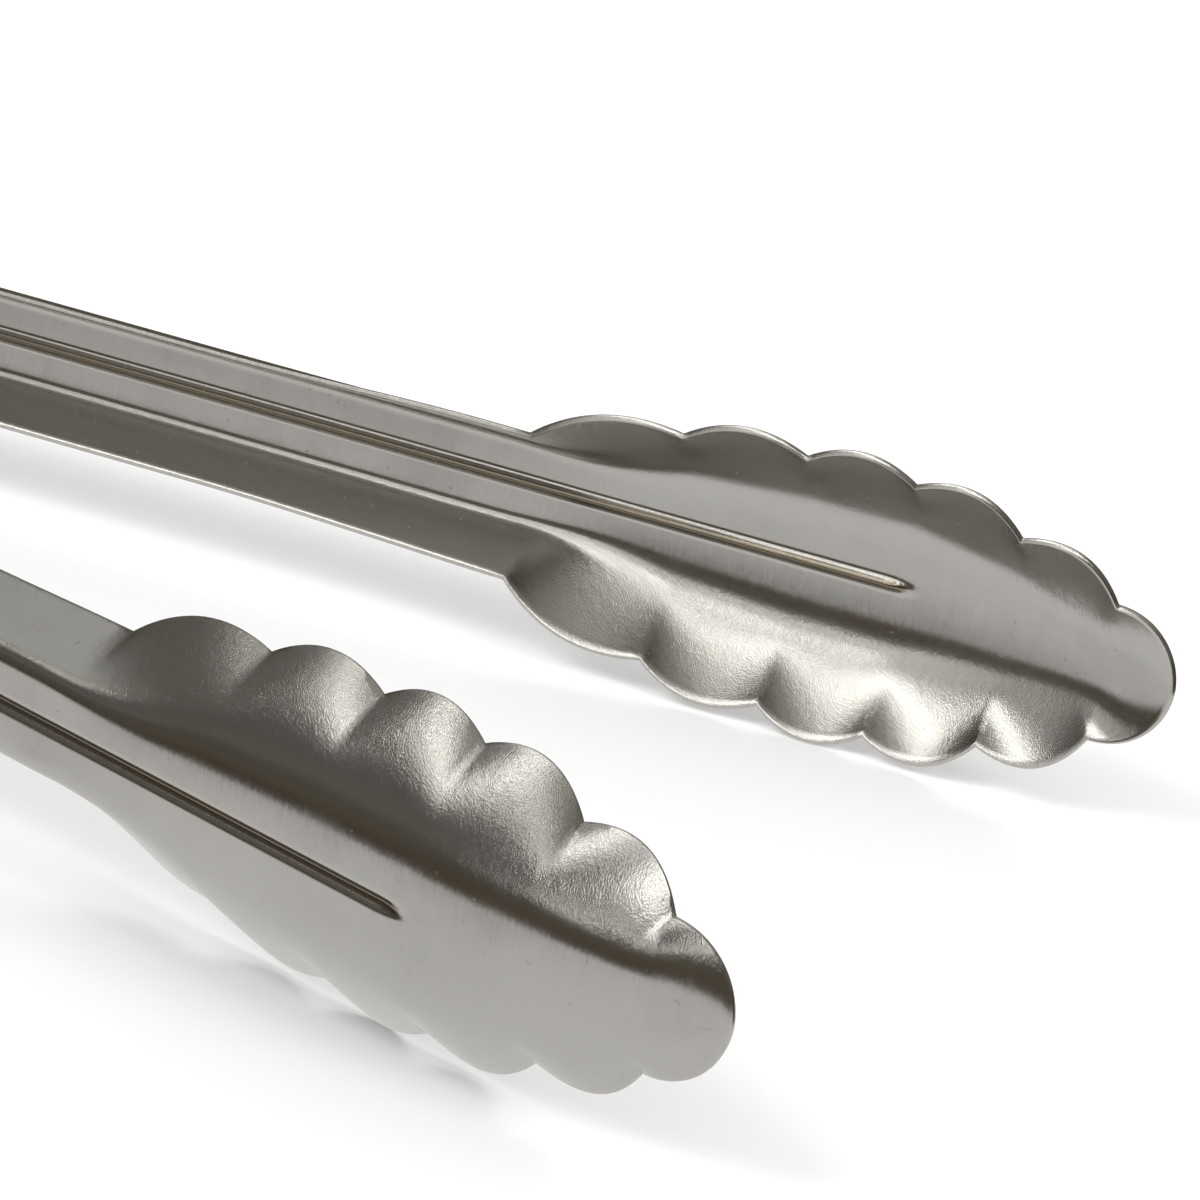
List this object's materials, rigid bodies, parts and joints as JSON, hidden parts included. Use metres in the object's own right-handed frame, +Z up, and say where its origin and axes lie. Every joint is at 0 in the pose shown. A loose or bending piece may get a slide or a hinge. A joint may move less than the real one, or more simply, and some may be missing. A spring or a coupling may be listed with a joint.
{
  "type": "spring loaded kitchen tongs",
  "caption": "Stainless kitchen tongs: two pressed channel arms with scalloped leaf heads on one rivet, pushed open by a torsion spring.",
  "frame": {"origin": "middle of the underside of the bounding box, tongs lying open on their side", "axes": "+X from the hinge to the tips, +Y towards the rear arm, +Z up along the rivet, square to the plane in which the arms swing"},
  "size_m": [0.399, 0.1564, 0.0468],
  "materials": {
    "pressed_stainless": "bright polished stainless sheet with a faint cross grain",
    "rivet_steel": "plain stainless",
    "spring_wire": "drawn stainless wire"
  },
  "bodies": {
    "rear_arm_and_hinge": {"rear_arm": "pressed_stainless", "hinge_rivet": "rivet_steel", "rivet_washer": "rivet_steel", "spring_sleeve": "rivet_steel", "torsion_spring": "spring_wire"},
    "front_arm": {"front_arm": "pressed_stainless"}
  },
  "joints": [
    {"name": "front_arm_swing", "type": "hinge", "parent": "rear_arm_and_hinge", "child": "front_arm", "pos_m": [-0.18625, 0, 0.0234], "axis": [0, 0, 1], "range_deg": [0, 21.2], "stiffness_Nm_per_rad": 2.4, "springref_deg": -11.46, "deforming": ["torsion_spring"]}
  ]
}
